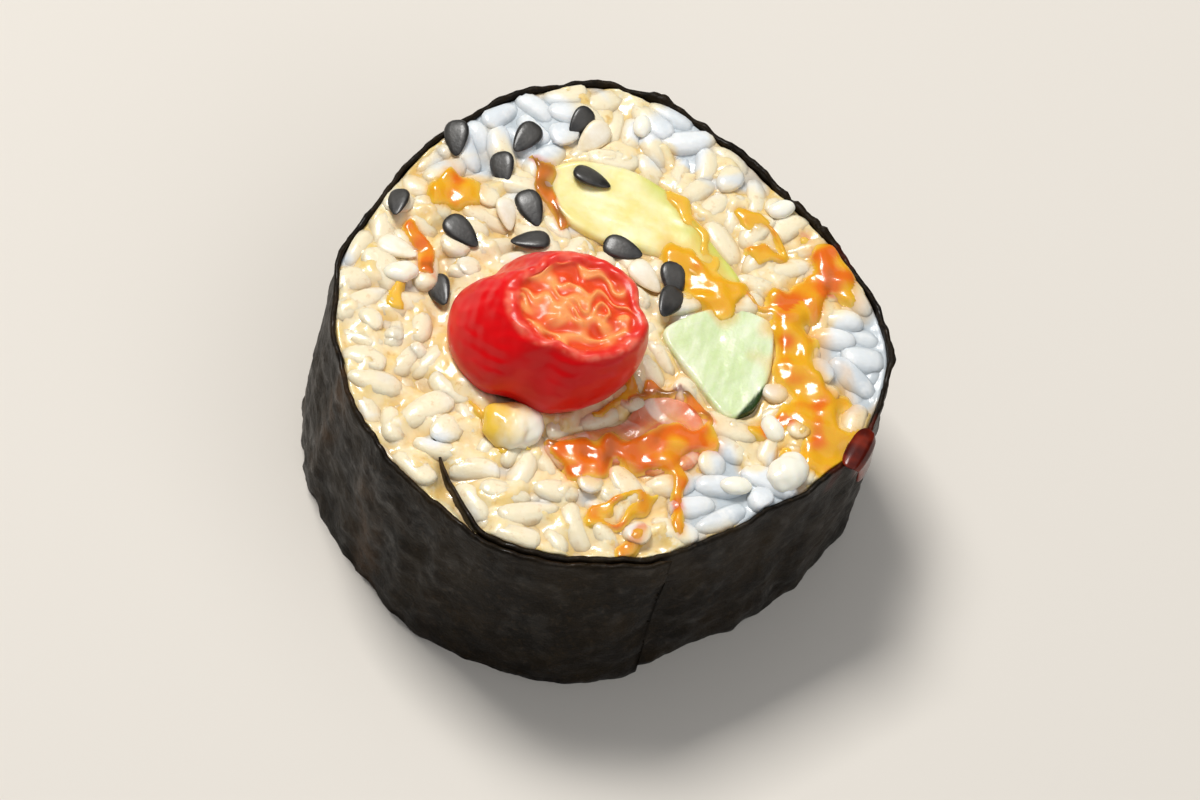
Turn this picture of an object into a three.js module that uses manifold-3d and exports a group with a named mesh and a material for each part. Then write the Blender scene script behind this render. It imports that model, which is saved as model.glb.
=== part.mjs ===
// One slice of a thick salmon roll, lying on its cut face, in millimetres with +Z up.
// The origin is the middle of the lower cut face, and +Y is the side that lies away
// from someone who looks at the face from the front.

import * as THREE from 'three';
import { mergeVertices } from 'three/addons/utils/BufferGeometryUtils.js';
import Module from 'manifold-3d';

const wasm = await Module();
wasm.setup();

const DEGREE = Math.PI / 180;
const FULL_TURN = 360;

// Driving dimensions of the slice: its mean radius over the seaweed, and its height,
// which is about a ninth of a roll made on a 190 mm sheet.
const SLICE_RADIUS = 24.7;
const SLICE_HEIGHT = 20;
const THREE_LOBES = 0.9;
const FOUR_LOBES = 0.8;
const FOUR_LOBES_TURN = 11.5;
const GAP = 0.3;

// The seaweed sheet starts inside the roll as a flap, joins the outline and laps over
// its own start. Angles are degrees round the slice from +X.
const SHEET_THICKNESS = 0.5;
const FLAP_START = 171;
const FLAP_JOIN = 258;
const FLAP_REACH = 66;
const FLAP_DEPTH = 9.4;
const FLAP_SOFTNESS = 1.2;
const LAP_RISE = 58;
const LAP_LENGTH = 40;
const LAP_STEP = 0.72;
const WRINKLE = 0.28;
const SHEET_STEP = 4.5;
const SHEET_LEVELS = 3;

// Cooked short grain rice, and how the grains lie in the upper cut face.
const GRAIN = { length: 6.2, width: 3.1, height: 2.5 };
const GRAIN_SPACING = 4.0;
const GRAIN_JITTER = 0.9;
const GRAIN_SIDES = 5;
const GRAIN_RINGS = 4;
const BLUNTNESS = 0.8;
const RICE_SINK = 1.3;
const RICE_STAND = 0.6;
const RICE_SEED = 11;

// Fillings: outlines of their cut ends, which run through the slice.
const CUCUMBER = [
  [4.8, 0.6], [7.6, 4.4], [10.8, 6.1], [14.6, 4.6],
  [15.6, 1], [15, -3.6], [13.1, -6.1], [8.4, -3.1],
];
const AVOCADO = [
  [-8.8, 14.6], [-3.2, 16.8], [2.2, 15.8], [6.8, 12.2],
  [10.9, 8], [8.2, 6.9], [3, 8.8], [-2.6, 8.7], [-6.6, 9.8],
];
const SALMON = [
  [-2.1, -14.2], [0.2, -12], [3.8, -9.4], [5.6, -6.2],
  [9, -5.4], [11.4, -7.6], [11.6, -10.8], [8.8, -13.4], [4.4, -13.8], [0.6, -15.8],
];
const FILLING_POINTS = 26;
const FILLING_BEVEL = 0.4;

// The chili piece on top: a thick cut piece with its wall, its folds and its core.
const CHILI_BASE = [-5.9, -4.4];
const CHILI_SEAT = 0.5;
const CHILI_HEIGHT = 8.8;
const CHILI_LEAN = [3.2, 0.1];
const CHILI_OVAL = 0.86;
const CHILI_FOLDS = 3;
const CHILI_FOLD_DEPTH = 0.1;
const CHILI_FOLD_TURN = -95;
const CHILI_SIDES = 27;
const CHILI_RECESS = 1.3;

// A dab of sauce, and the sesame seeds: place, and turn in degrees.
const DAB = { place: [-5.3, -13.2], size: [5.8, 5, 3.4] };
const SEED = { length: 3.4, width: 2.1, height: 1.1 };
const DARK_SEEDS = [
  [-17.7, 14.5, 105], [-11.7, 16.8, 70], [-12.9, 13, 110], [-7.4, 20.1, 70], [-21, 5.9, 95],
  [-14.7, 4.9, 150], [-9.4, 9.6, 125], [-8.6, 6.3, 20], [-15.1, -1.3, 120],
  [4.8, 6.7, 110], [5, 4.1, 80], [-0.4, 8.2, 175],
];
const DARK_SEEDS_ON_AVOCADO = [[-4.9, 14.6, 170]];
const PALE_SEEDS = [[-11.3, 8.4, 115], [-19.8, 1.5, 170], [2.3, 6.2, 150], [-5.9, 19, 60]];

// A seeded random number between low and high.
function randomBetween(low, high) {
  return low + (high - low) * THREE.MathUtils.seededRandom();
}

// The radius of the slice's rounded outline at an angle: a circle with three lobes and four.
function outlineRadius(degrees) {
  const lobes = THREE_LOBES * Math.cos(3 * degrees * DEGREE);
  return SLICE_RADIUS + lobes + FOUR_LOBES * Math.cos(4 * (degrees - FOUR_LOBES_TURN) * DEGREE);
}

// Where the sheet's middle runs: as a flap inside the outline, along it, then over its start.
// Its angle counts on from the flap's start, past a full turn, to the end of the lap.
function sheetRadius(degrees) {
  const along = outlineRadius(degrees) - SHEET_THICKNESS / 2;
  if (degrees < FLAP_JOIN) {
    const inward = Math.sin(90 * DEGREE * (FLAP_JOIN - degrees) / FLAP_REACH);
    return along - FLAP_DEPTH * inward ** FLAP_SOFTNESS;
  }
  const lapJoin = FLAP_JOIN + FULL_TURN;
  return along + LAP_STEP * THREE.MathUtils.smoothstep(degrees, lapJoin - LAP_RISE, lapJoin);
}

// The folds that the damp sheet takes on, as a small shift of its radius.
function wrinkle(degrees, z) {
  const turn = degrees * DEGREE;
  const folds = Math.sin(9 * turn + 0.22 * z) + 0.8 * Math.sin(16 * turn - 0.17 * z + 2 * Math.cos(3 * turn));
  return WRINKLE * folds / 1.8;
}

// A point of the sheet: across runs from -1 on its inner side to 1 on its outer side.
function sheetPoint(degrees, across, thickness, z) {
  const ahead = 0.5;
  const at = (angle) => new THREE.Vector2(1, 0)
    .multiplyScalar(sheetRadius(angle) + wrinkle(angle, z))
    .rotateAround(new THREE.Vector2(), angle * DEGREE);
  const here = at(degrees);
  const forward = at(degrees + ahead).sub(at(degrees - ahead)).normalize();
  const outward = new THREE.Vector2(forward.y, -forward.x);
  return here.addScaledVector(outward, across * thickness / 2);
}

// A stretch of the sheet as a bent box, from one angle to another and from low to high.
function bentSheet(from, to, thickness, low, high) {
  const steps = Math.ceil((to - from) / SHEET_STEP);
  const geometry = new THREE.BoxGeometry(1, 1, 1, steps, 1, SHEET_LEVELS);
  const place = geometry.attributes.position;
  for (let i = 0; i < place.count; i += 1) {
    const degrees = THREE.MathUtils.lerp(from, to, place.getX(i) + 0.5);
    const z = THREE.MathUtils.lerp(low, high, place.getZ(i) + 0.5);
    const point = sheetPoint(degrees, -2 * place.getY(i), thickness, z);
    place.setXYZ(i, point.x, point.y, z);
  }
  return geometry;
}

// The same geometry as a solid that can be joined and cut.
function toSolid(geometry) {
  const bare = new THREE.BufferGeometry();
  bare.setAttribute('position', geometry.attributes.position.clone());
  if (geometry.index) {
    bare.setIndex(geometry.index.clone());
  }
  const merged = mergeVertices(bare, 1e-4);
  return new wasm.Manifold(new wasm.Mesh({
    numProp: 3,
    vertProperties: new Float32Array(merged.attributes.position.array),
    triVerts: new Uint32Array(merged.index.array),
  }));
}

// A joined or cut solid as a geometry, without the loose scraps that a cut can leave.
function toGeometry(solid) {
  const pieces = solid.decompose();
  pieces.sort((a, b) => b.volume() - a.volume());
  const mesh = pieces[0].getMesh();
  const geometry = new THREE.BufferGeometry();
  geometry.setAttribute('position', new THREE.BufferAttribute(mesh.vertProperties, 3));
  geometry.setIndex(new THREE.BufferAttribute(mesh.triVerts, 1));
  geometry.computeVertexNormals();
  return geometry;
}

// A smooth closed outline through a few points.
function smoothOutline(corners, count) {
  const points = corners.map(([x, y]) => new THREE.Vector3(x, y, 0));
  const curve = new THREE.CatmullRomCurve3(points, true, 'centripetal');
  const outline = curve.getSpacedPoints(count).slice(0, -1).map((p) => new THREE.Vector2(p.x, p.y));
  return THREE.ShapeUtils.isClockWise(outline) ? outline.reverse() : outline;
}

// An outline moved outward by a distance, along the normal at each of its points.
function grownOutline(outline, distance) {
  return outline.map((point, i) => {
    const before = outline[(i + outline.length - 1) % outline.length];
    const after = outline[(i + 1) % outline.length];
    const forward = after.clone().sub(before).normalize();
    return point.clone().add(new THREE.Vector2(forward.y, -forward.x).multiplyScalar(distance));
  });
}

// Whether a point lies inside a closed outline, by counting the edges to its right.
function isInside(point, outline) {
  let inside = false;
  outline.forEach((start, i) => {
    const end = outline[(i + 1) % outline.length];
    const across = (start.y > point.y) !== (end.y > point.y);
    const crossing = start.x + (end.x - start.x) * (point.y - start.y) / (end.y - start.y);
    if (across && point.x < crossing) {
      inside = !inside;
    }
  });
  return inside;
}

// An outline carried straight up from low to high, with its edges taken off if bevel is given.
function prism(outline, low, high, bevel = 0) {
  const geometry = new THREE.ExtrudeGeometry(new THREE.Shape(outline), {
    depth: high - low - 2 * bevel,
    steps: 1,
    bevelEnabled: bevel > 0,
    bevelThickness: bevel,
    bevelSize: bevel,
    bevelOffset: -bevel,
    bevelSegments: 1,
  });
  return geometry.translate(0, 0, low + bevel);
}

// A blunt egg with few sides, lying along +X: a sphere stretched to size, with its rings
// moved towards its ends. It narrows towards -X if taper is given.
function egg({ length, width, height }, taper = 0) {
  const geometry = new THREE.SphereGeometry(0.5, GRAIN_SIDES, GRAIN_RINGS).rotateZ(90 * DEGREE);
  const place = geometry.attributes.position;
  for (let i = 0; i < place.count; i += 1) {
    const along = Math.sign(place.getX(i)) * Math.abs(2 * place.getX(i)) ** BLUNTNESS / 2;
    const around = new THREE.Vector2(place.getY(i), place.getZ(i));
    const reach = around.length();
    around.setLength(reach > 0 ? (2 * reach) ** BLUNTNESS / 2 * (1 + 2 * taper * along) : 0);
    place.setXYZ(i, length * along, width * around.x, height * around.y);
  }
  return geometry;
}

// Fillings and chili

const fillingOutlines = {
  cucumber: smoothOutline(CUCUMBER, FILLING_POINTS),
  avocado: smoothOutline(AVOCADO, FILLING_POINTS),
  salmon: smoothOutline(SALMON, FILLING_POINTS),
};

// The chili's section turned about its own axis, then folded, made oval and leant over.
// Its profile runs up the skin, over the cut wall, down into the recess and up its core.
function chiliPiece(extra) {
  const top = CHILI_HEIGHT;
  const floor = top - CHILI_RECESS;
  const skin = [[0, 0], [6, 0], [7.9, 0.9], [8.7, 2.8], [8.3, 5.2], [7.2, 7.6], [6.5, top]];
  const inside = [[5.2, top - 0.1], [4.7, floor], [3.4, floor], [2.6, top - 0.4], [1.2, top], [0, top - 0.2]];
  const profile = extra ? [...skin, [0, top]] : [...skin, ...inside];
  const points = profile.map(([r, z]) => new THREE.Vector2(r ? r + extra : 0, z > 1 ? z + extra : z - extra));
  const geometry = new THREE.LatheGeometry(points, CHILI_SIDES).rotateX(90 * DEGREE);
  const place = geometry.attributes.position;
  for (let i = 0; i < place.count; i += 1) {
    const x = place.getX(i);
    const y = place.getY(i);
    const z = place.getZ(i);
    const turn = Math.atan2(y, x) / DEGREE - CHILI_FOLD_TURN;
    const fold = 1 - CHILI_FOLD_DEPTH * Math.max(0, Math.cos(CHILI_FOLDS * turn * DEGREE)) ** 3;
    const rise = z / CHILI_HEIGHT;
    place.setXYZ(
      i,
      CHILI_BASE[0] + x * fold + CHILI_LEAN[0] * rise,
      CHILI_BASE[1] + y * fold * THREE.MathUtils.lerp(0.93, CHILI_OVAL, rise) + CHILI_LEAN[1] * rise,
      SLICE_HEIGHT - CHILI_SEAT + z,
    );
  }
  return geometry;
}

// Rice

// The outline that the rice fills, out to the middle of the sheet, which is then cut from it.
function riceRoom() {
  const outline = [];
  for (let degrees = 0; degrees < FULL_TURN; degrees += SHEET_STEP) {
    const radius = outlineRadius(degrees) - SHEET_THICKNESS / 2;
    outline.push(new THREE.Vector2(radius, 0).rotateAround(new THREE.Vector2(), degrees * DEGREE));
  }
  return outline;
}

// The room that the sheet takes out of the rice: its flap and its turn, with the gap round them.
function sheetRoom() {
  const thickness = SHEET_THICKNESS + 2 * GAP;
  const stretches = [[FLAP_START - 1.5, FLAP_JOIN + 4], [FLAP_JOIN, FLAP_JOIN + FULL_TURN]];
  return stretches.map(([from, to]) => toSolid(bentSheet(from, to, thickness, -1, SLICE_HEIGHT + 4)));
}

// Grains on a jittered triangular lattice, turned and tilted at random, with some end up.
// None starts inside a filling or beyond the room that the rice has.
function grains(middleHeight, room) {
  const solids = [];
  const rowStep = GRAIN_SPACING * Math.sqrt(3) / 2;
  const reach = Math.ceil(SLICE_RADIUS / rowStep);
  for (let row = -reach; row <= reach; row += 1) {
    for (let column = -reach; column <= reach; column += 1) {
      const x = (column + (row % 2) / 2) * GRAIN_SPACING + randomBetween(-1, 1) * GRAIN_JITTER;
      const y = row * rowStep + randomBetween(-1, 1) * GRAIN_JITTER;
      const z = middleHeight + randomBetween(-0.3, 0.3);
      const tilt = randomBetween(-1, 1) ** 3 * 70 * DEGREE;
      const turn = randomBetween(0, 180) * DEGREE;
      const size = randomBetween(0.9, 1.08);
      const grain = egg(GRAIN).scale(size, size, size).rotateX(randomBetween(-20, 20) * DEGREE);
      grain.rotateY(tilt).rotateZ(turn).translate(x, y, z);
      const place = new THREE.Vector2(x, y);
      const filled = Object.values(fillingOutlines).some((outline) => isInside(place, outline));
      if (isInside(place, room) && !filled) {
        solids.push(toSolid(grain));
      }
    }
  }
  return solids;
}

// Sesame seeds lying at a height, each fused to what it lies on.
function seeds(places, height) {
  return places.map(([x, y, turn]) => toSolid(
    egg(SEED, 0.35).rotateZ(turn * DEGREE).translate(x, y, height),
  ));
}

function dab() {
  const geometry = new THREE.SphereGeometry(0.5, 10, 6).scale(...DAB.size);
  return toSolid(geometry.translate(...DAB.place, SLICE_HEIGHT));
}

function riceSolid() {
  THREE.MathUtils.seededRandom(RICE_SEED);
  const room = riceRoom();
  const core = toSolid(prism(room, 0, SLICE_HEIGHT - RICE_SINK));
  const surface = grains(SLICE_HEIGHT - RICE_SINK + 0.1, room);
  const underKnife = toSolid(prism(room, 0, SLICE_HEIGHT + RICE_STAND));
  const rice = wasm.Manifold.union([core, ...surface]).intersect(underKnife);
  const toppings = [...seeds([...DARK_SEEDS, ...PALE_SEEDS], SLICE_HEIGHT + RICE_STAND), dab()];
  const keepOuts = Object.values(fillingOutlines)
    .map((outline) => toSolid(prism(grownOutline(outline, GAP + 0.05), -1, SLICE_HEIGHT + 5)));
  keepOuts.push(toSolid(chiliPiece(GAP)));
  keepOuts.push(...sheetRoom());
  return wasm.Manifold.union([rice, ...toppings]).subtract(wasm.Manifold.union(keepOuts));
}

function avocadoSolid() {
  const flesh = toSolid(prism(fillingOutlines.avocado, 0, SLICE_HEIGHT, FILLING_BEVEL));
  return wasm.Manifold.union([flesh, ...seeds(DARK_SEEDS_ON_AVOCADO, SLICE_HEIGHT + 0.3)]);
}

// Nodes

const slice = new THREE.Group();

function addNode(name, geometry, color, roughness) {
  const material = new THREE.MeshStandardMaterial({ color, roughness, metalness: 0, flatShading: true });
  const mesh = new THREE.Mesh(geometry, material);
  mesh.name = name;
  slice.add(mesh);
}

const sheetEnd = FLAP_JOIN + FULL_TURN + LAP_LENGTH;
addNode('nori', bentSheet(FLAP_START, sheetEnd, SHEET_THICKNESS, 0, SLICE_HEIGHT - 0.2), '#1f1e1a', 0.5);
addNode('rice', toGeometry(riceSolid()), '#efe6d2', 0.45);
addNode('cucumber', prism(fillingOutlines.cucumber, 0, SLICE_HEIGHT, FILLING_BEVEL), '#cfe3b2', 0.4);
addNode('avocado', toGeometry(avocadoSolid()), '#efe6a6', 0.45);
addNode('salmon', prism(fillingOutlines.salmon, 0, SLICE_HEIGHT, FILLING_BEVEL), '#f0844a', 0.3);
addNode('chili', chiliPiece(0), '#c8121c', 0.25);

const middle = new THREE.Box3().setFromObject(slice).getCenter(new THREE.Vector3());
slice.position.set(-middle.x, -middle.y, 0);

const roll = new THREE.Group();
roll.add(slice);

export default roll;
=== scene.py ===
# One slice of a thick salmon roll, dressed on its upper cut face. Each piece is worked out in
# millimetres about the roll's middle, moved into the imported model's frame and rides on its body.
import math

import bpy
import numpy as np
from mathutils import Matrix, Vector


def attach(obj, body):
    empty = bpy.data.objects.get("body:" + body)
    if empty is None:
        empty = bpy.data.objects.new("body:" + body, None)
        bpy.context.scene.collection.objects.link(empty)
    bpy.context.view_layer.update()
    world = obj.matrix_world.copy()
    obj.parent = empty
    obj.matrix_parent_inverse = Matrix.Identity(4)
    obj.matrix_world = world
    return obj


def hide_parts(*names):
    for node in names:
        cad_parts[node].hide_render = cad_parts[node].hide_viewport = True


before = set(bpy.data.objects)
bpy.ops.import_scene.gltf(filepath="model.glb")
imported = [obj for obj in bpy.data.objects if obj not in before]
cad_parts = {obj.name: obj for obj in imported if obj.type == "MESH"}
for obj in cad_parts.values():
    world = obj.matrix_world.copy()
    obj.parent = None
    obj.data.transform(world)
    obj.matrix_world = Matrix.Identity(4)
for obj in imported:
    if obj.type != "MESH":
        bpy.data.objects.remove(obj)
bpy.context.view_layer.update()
scene = bpy.context.scene


# ----------------------------------------
# Seaweed sheet. One toasted sheet starts as a flap inside the roll, runs round it and laps over
# its own start, pulled tight in a bamboo mat.
MM = 0.001
FULL_TURN = 360
SLICE_RADIUS, SLICE_HEIGHT = 24.7, 20
THREE_LOBES, FOUR_LOBES, FOUR_LOBES_TURN = 0.9, 0.8, 11.5
WAVES = 14

SHEET_THICKNESS, SHEET_INSET = 0.42, 0.25
FLAP_START, FLAP_JOIN, FLAP_REACH = 171, 258, 66
FLAP_DEPTH, FLAP_SOFTNESS, FLAP_BLEND = 9.4, 1.2, 14
# The flap's edge: how far it lies under the face, then stands over it, and where it comes up.
FLAP_SUNK, FLAP_PROUD, FLAP_UP = 2.4, 0.1, (FLAP_START + 56, FLAP_START + 65)
LAP_RISE, LAP_LENGTH, LAP_STEP = 58, 40, 0.72
SHEET_END = FLAP_JOIN + FULL_TURN + LAP_LENGTH
WRINKLE = 0.28
EDGE_SUNK, EDGE_ROUND, TORN_DEPTH = 0.12, 0.04, 0.8
SHEET_STEPS, SHEET_LEVELS = 620, 44
# Where the knife tore the sheet: place and half width in degrees, and how far it stands up.
TORN = [
    (92, 2.6, 0.55), (73, 2.2, 0.35), (55, 3.5, 0.45),
    (44, 5, 0.6), (11, 1.8, 0.5), (126, 1.5, 0.25),
]


def outline_radius(turn):
    """A circle with three and four soft lobes; a turn is in degrees from +X."""
    lobes = THREE_LOBES * np.cos(np.radians(3 * turn))
    return SLICE_RADIUS + lobes + FOUR_LOBES * np.cos(np.radians(4 * (turn - FOUR_LOBES_TURN)))


def smoothstep(value, low, high):
    """0 below low, 1 above high, and the cubic 3t^2 - 2t^3 between them."""
    t = np.clip((value - low) / (high - low), 0, 1)
    return t * t * (3 - 2 * t)


def sheet_radius(turn):
    """The outline less the inset, less a sine along the flap, deepest a FLAP_REACH before its
    join, plus a step out to the lap."""
    inward = np.sin(np.radians(90 * np.clip(FLAP_JOIN - turn, 0, None) / FLAP_REACH))
    lap_join = FLAP_JOIN + FULL_TURN
    step = LAP_STEP * smoothstep(turn, lap_join - LAP_RISE, lap_join)
    return outline_radius(turn) - SHEET_INSET - FLAP_DEPTH * inward**FLAP_SOFTNESS + step


def in_flap(turn):
    """1 along the flap inside the roll, 0 from where it joins the outline."""
    return 1 - smoothstep(turn, FLAP_JOIN - FLAP_BLEND, FLAP_JOIN)


def wrinkle(turn, z):
    """Two slanted sine folds, the finer bunched by a third wave; the rice holds the flap flatter."""
    a = np.radians(turn)
    folds = np.sin(9 * a + 0.22 * z) + 0.8 * np.sin(16 * a - 0.17 * z + 2 * np.cos(3 * a))
    return WRINKLE * folds / 1.8 * (1 - 0.6 * in_flap(turn))


def ripple(points, size, seed):
    """Smooth noise of about -1 to 1: a sum of plane sine waves of random heading, whose lengths
    lie within a third of size."""
    rng = np.random.default_rng(seed)
    heading = rng.normal(size=(3, WAVES))
    heading /= np.linalg.norm(heading, axis=0)
    heading *= 2 * math.pi / (size * rng.uniform(0.7, 1.35, WAVES))
    start = rng.uniform(0, 2 * math.pi, WAVES)
    return np.sin(points @ heading + start).sum(-1) / math.sqrt(WAVES)


def relief(points, *ripples):
    """The sum of ripples, each given by its depth, size and seed."""
    return sum(depth * ripple(points, size, seed) for depth, size, seed in ripples)


def columns(*parts):
    """The parts, spread to one grid, side by side along a last axis."""
    return np.stack(np.broadcast_arrays(*parts), -1)


def on_plane(radius, turn):
    """Plane points at a radius and a turn in degrees."""
    a = np.radians(turn)
    return columns(radius * np.cos(a), radius * np.sin(a))


def to_space(flat, z=0):
    """Plane points with a height."""
    return np.concatenate([flat, np.zeros(flat.shape[:-1] + (1,)) + z], -1)


def length(vectors):
    """How long each vector is."""
    return np.linalg.norm(vectors, axis=-1)


def rightward(ahead):
    """The plane direction to the right of each heading, one long."""
    return columns(ahead[..., 1], -ahead[..., 0]) / length(ahead)[..., None]


def turn_from(place, turn):
    """The turn in degrees from a place, the shorter way round."""
    return (turn - place + FULL_TURN / 2) % FULL_TURN - FULL_TURN / 2


def sheet_path(turn, z):
    """The sheet's middle at turn and height z, with its wrinkles."""
    return on_plane(sheet_radius(turn) + wrinkle(turn, z), turn)


_rim = sheet_path(np.linspace(FLAP_START, SHEET_END, 900), 0.5 * SLICE_HEIGHT)
MIDDLE = np.append((_rim.min(0) + _rim.max(0)) / 2, 0)


def add_object(name, data):
    """An object of the scene for a mesh, a lamp or the camera."""
    made = bpy.data.objects.new(name, data)
    scene.collection.objects.link(made)
    return made


def add_mesh(name, points, faces):
    """A mesh object from points in millimetres."""
    mesh = bpy.data.meshes.new(name)
    mesh.from_pydata((points * MM).tolist(), [], faces)
    return add_object(name, mesh)


def loft(name, rings):
    """Closed bodies from rings[body, ring, side, xyz], moved so that the slice's box is
    centred: quads join the rings, and a fan closes each end. Seen from the last ring, the
    sides run anticlockwise."""
    bodies, count, sides, _ = rings.shape
    ends = rings[:, [0, -1]].mean(axis=2)
    points = np.concatenate([rings.reshape(bodies, -1, 3), ends], axis=1)
    here = np.arange(sides)
    after = (here + 1) % sides
    base = np.arange(count - 1)[:, None] * sides
    quads = columns(base + here, base + after, base + sides + after, base + sides + here)
    last = (count - 1) * sides
    low = columns(after, here, count * sides)
    high = columns(last + here, last + after, count * sides + 1)
    shift = np.arange(bodies)[:, None, None] * points.shape[1]
    quads = (quads.reshape(1, -1, 4) + shift).reshape(-1, 4)
    fans = (np.concatenate([low, high])[None] + shift).reshape(-1, 3)
    piece = add_mesh(name, points.reshape(-1, 3) - MIDDLE, quads.tolist() + fans.tolist())
    piece.data.shade_smooth()
    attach(piece, "root")
    return piece


def paint(piece, label, values):
    """Stores one number a vertex under a name that the materials read."""
    layer = piece.data.attributes.new(label, "FLOAT", "POINT")
    layer.data.foreach_set("value", np.asarray(values, np.float32).ravel())


def vertices(piece):
    """The piece's vertices in millimetres, as its functions made them."""
    found = np.empty(len(piece.data.vertices) * 3)
    piece.data.vertices.foreach_get("co", found)
    return found.reshape(-1, 3) / MM + MIDDLE


class Signal:
    """A shader socket in an expression: each operator adds the Math node that it stands for."""

    def __init__(self, finish, socket):
        self.finish, self.socket = finish, socket

    def math(self, kind, other):
        return self.finish.node("Math", {"operation": kind}, {0: self, 1: other})

    def __add__(self, other):
        return self.math("ADD", other)

    def __sub__(self, other):
        return self.math("SUBTRACT", other)

    def __rsub__(self, other):
        return (self * -1) + other

    def __mul__(self, other):
        return self.math("MULTIPLY", other)

    __radd__ = __add__
    __rmul__ = __mul__

    def step(self, low, high):
        """0 below low and 1 above high, smoothly."""
        inputs = {"Value": self, "From Min": low, "From Max": high}
        return self.finish.node("MapRange", {"interpolation_type": "SMOOTHSTEP"}, inputs)


def rgb(*screen):
    """A screen colour of 0 to 255 as a shader's linear colour."""
    parts = [value / 255 for value in screen]
    return (*(p / 12.92 if p <= 0.04045 else ((p + 0.055) / 1.055) ** 2.4 for p in parts), 1)


class Finish:
    """A material in the making: one Principled shader, whose sockets are fed by name."""

    def __init__(self, name, **fixed):
        self.material = bpy.data.materials.new(name)
        self.material.use_nodes = True
        self.tree = self.material.node_tree
        self.shade(fixed)
        self.place = self.node("TexCoord", {}, {}, "Object")

    def feed(self, socket, value):
        if isinstance(value, Signal):
            self.tree.links.new(value.socket, socket)
        else:
            socket.default_value = value

    def shade(self, values):
        for label, value in values.items():
            self.feed(self.tree.nodes["Principled BSDF"].inputs[label.replace("_", " ")], value)

    def node(self, kind, settings, inputs, output=0):
        made = self.tree.nodes.new("ShaderNode" + kind)
        for label, value in settings.items():
            setattr(made, label, value)
        for key, value in inputs.items():
            self.feed(made.inputs[key], value)
        return Signal(self, made.outputs[output])

    def painted(self, label):
        return self.node("Attribute", {"attribute_name": label}, {}, "Fac")

    def noise(self, size, detail=3, rough=0.55, at=None):
        """Noise of about 0 to 1 whose blotches are size millimetres across."""
        inputs = {"Vector": at or self.place, "Scale": 1 / (size * MM), "Detail": detail}
        return self.node("TexNoise", {}, inputs | {"Roughness": rough}, "Fac")

    def layered(self, colour, *layers):
        """A colour with others laid over it in turn, each as far as its mask goes."""
        for mask, over in layers:
            inputs = {0: mask, 6: colour, 7: over}
            colour = self.node("Mix", {"data_type": "RGBA"}, inputs, 2)
        return colour

    def stretched(self, x, y, z):
        """Object coordinates scaled along each axis, for grain that runs one way."""
        inputs = {0: self.place, 1: (x, y, z)}
        return self.node("VectorMath", {"operation": "MULTIPLY"}, inputs)

    def bump(self, height, depth, strength):
        """A normal from a height of 0 to 1 that stands for depth millimetres."""
        inputs = {"Height": height, "Distance": depth * MM, "Strength": strength}
        return self.node("Bump", {}, inputs)

    def sauced(self, colour):
        """A colour under the amber sauce, which is yellow, orange or brown by its redness."""
        amount, redness = self.painted("amber"), self.painted("redness")
        sauce = self.layered(
            rgb(232, 168, 22),
            (redness.step(0, 0.6), rgb(226, 98, 10)), (redness.step(0.6, 1.2), rgb(110, 30, 8)),
        )
        return self.layered(colour, (amount.step(0.02, 0.5) * 0.94, sauce))

    def wear(self, piece, slot, **varying):
        """Feeds the varying sockets and gives the piece the material; slot is not used."""
        self.shade(varying)
        piece.data.materials.append(self.material)


def seaweed_sheet():
    """A loft along the sheet: each ring goes up its inner side, over its cut edge and down its
    outer side. Rice presses low bumps through it, and the knife leaves its edge ragged."""
    turn = np.linspace(FLAP_START, SHEET_END, SHEET_STEPS)[:, None]
    level = np.linspace(0, 1, SHEET_LEVELS)
    height = np.r_[level, 1, level[::-1], 0]
    side = np.repeat([-1, 0, 1, 0], [SHEET_LEVELS, 1, SHEET_LEVELS, 1])
    on_rim = to_space(on_plane(SLICE_RADIUS, turn[:, 0]))
    torn = sum(rise * np.exp(-((turn_from(at, turn) / half) ** 2)) for at, half, rise in TORN)
    ragged = 0.6 + 0.4 * ripple(on_rim, 0.9, 20)[:, None]
    edge = SLICE_HEIGHT - EDGE_SUNK + relief(on_rim, (0.16, 5, 21), (0.1, 1.3, 22))
    sunk = FLAP_SUNK - (FLAP_SUNK + FLAP_PROUD) * smoothstep(turn, *FLAP_UP)
    edge = edge[:, None] + torn * ragged - sunk * in_flap(turn)
    z = np.maximum(height * edge + EDGE_ROUND * (side == 0) * (2 * height - 1), 0)
    middle = sheet_path(turn, z)
    outward = rightward(sheet_path(turn + 0.4, z) - sheet_path(turn - 0.4, z))
    spot = to_space(on_rim[:, None, :2] + 0 * middle, z[..., None])
    pleats = ripple(spot * [1, 1, 0.18], 2.6, 26) * smoothstep(SLICE_HEIGHT - z, 0, 6)
    pressed = relief(spot, (0.08, 4.2, 23), (0.05, 1.7, 24), (0.025, 0.7, 25)) + 0.13 * pleats
    full = 1 - smoothstep(turn, SHEET_END - 3, SHEET_END)
    thickness = SHEET_THICKNESS * (0.35 + 0.65 * full) * (1 - 0.4 * in_flap(turn))
    frayed = 0.5 * torn * smoothstep(z, SLICE_HEIGHT - TORN_DEPTH, SLICE_HEIGHT)
    offset = side * (thickness + frayed) / 2 + pressed * (1 - 0.7 * in_flap(turn))
    return loft("seaweed", to_space(middle + outward * offset[..., None], z[..., None])[None])


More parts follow.
